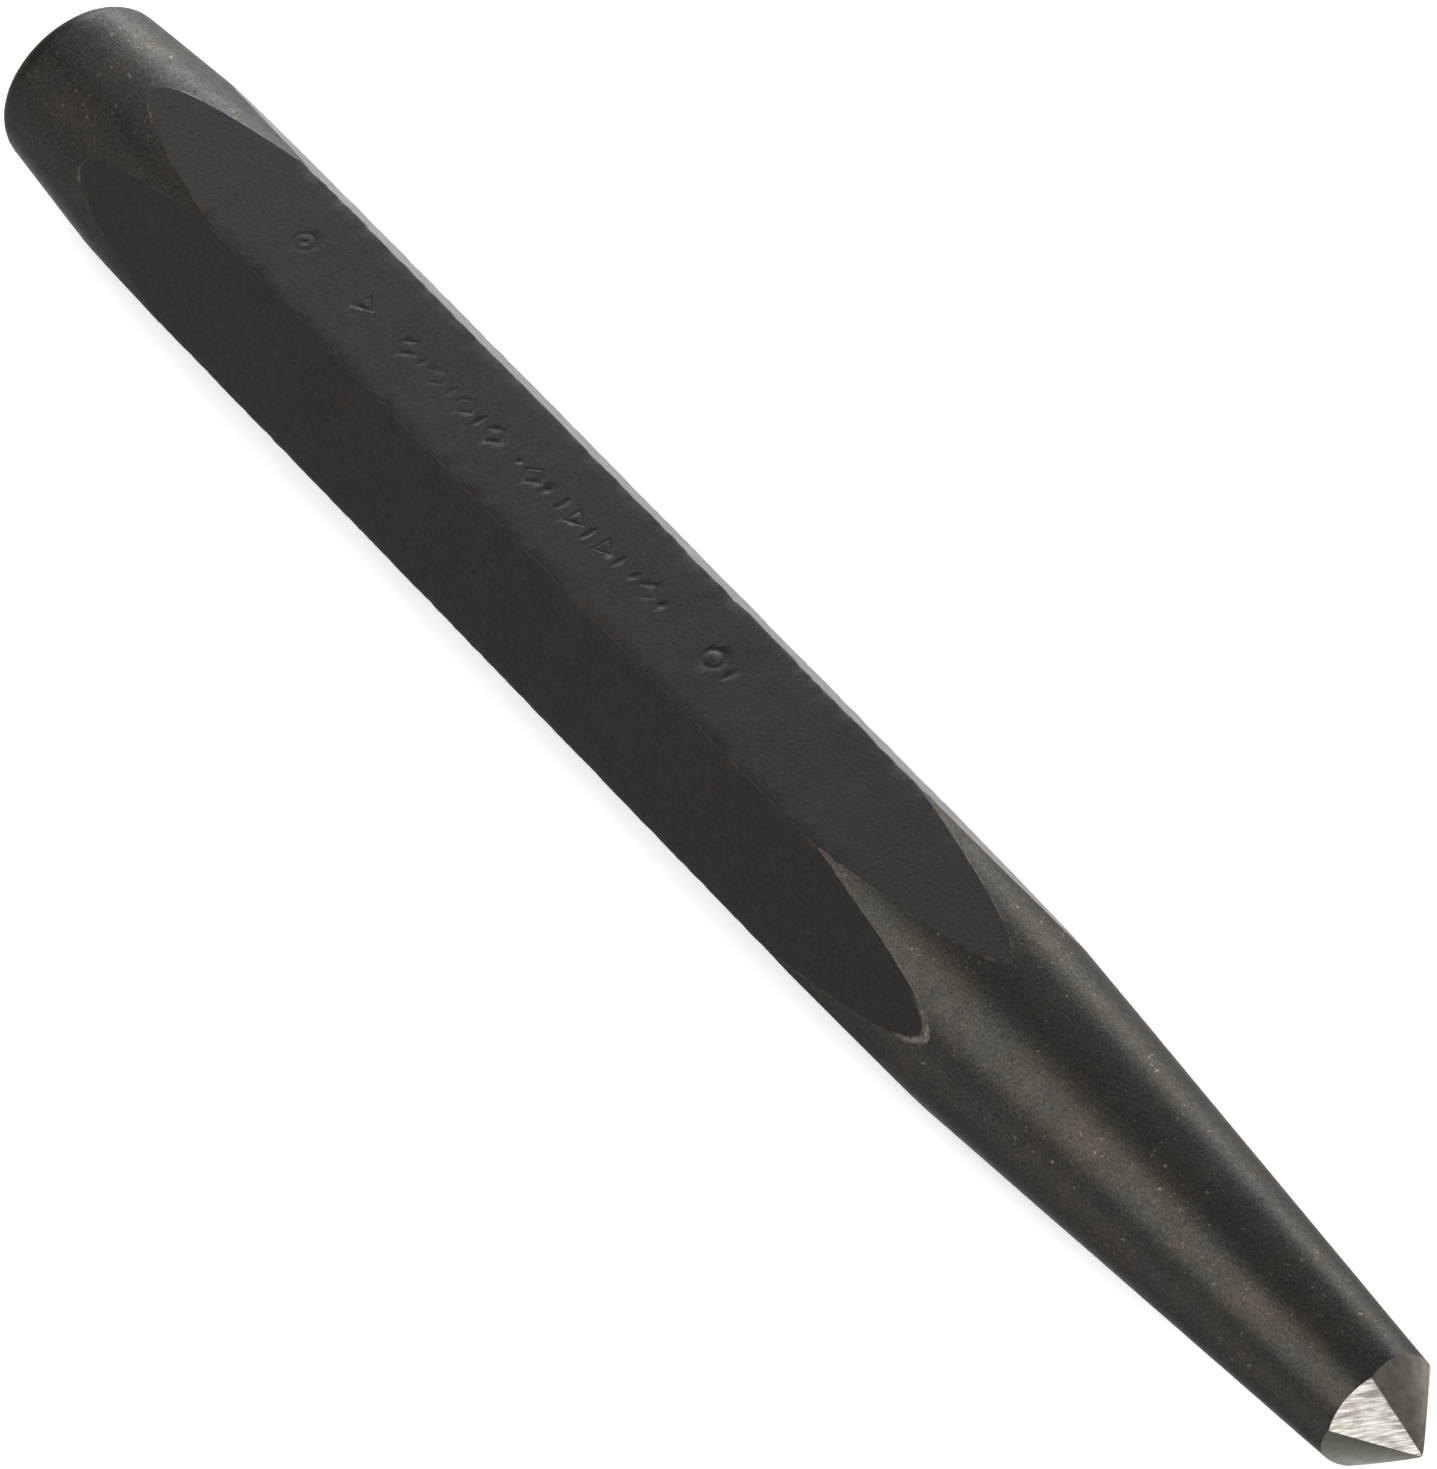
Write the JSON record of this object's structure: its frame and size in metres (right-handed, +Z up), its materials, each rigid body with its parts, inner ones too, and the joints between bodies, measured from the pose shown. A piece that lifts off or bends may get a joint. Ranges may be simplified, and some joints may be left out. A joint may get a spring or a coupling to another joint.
{
  "type": "centre punch",
  "caption": "Solid steel centre punch: hexagonal body, rounded striking head, long round taper and a bright ground conical point.",
  "frame": {"origin": "on the flat of the hexagon that the punch rests on, below its axis and half way along its length", "axes": "+X along the punch from the struck head to the point, +Z up out of the upper flat"},
  "size_m": [0.1606, 0.0182, 0.0159],
  "materials": {
    "blackened_steel": "satin black oxide on forged and turned tool steel, ground bright on the point"
  },
  "bodies": {
    "root": {"centre_punch": "blackened_steel"}
  },
  "joints": []
}
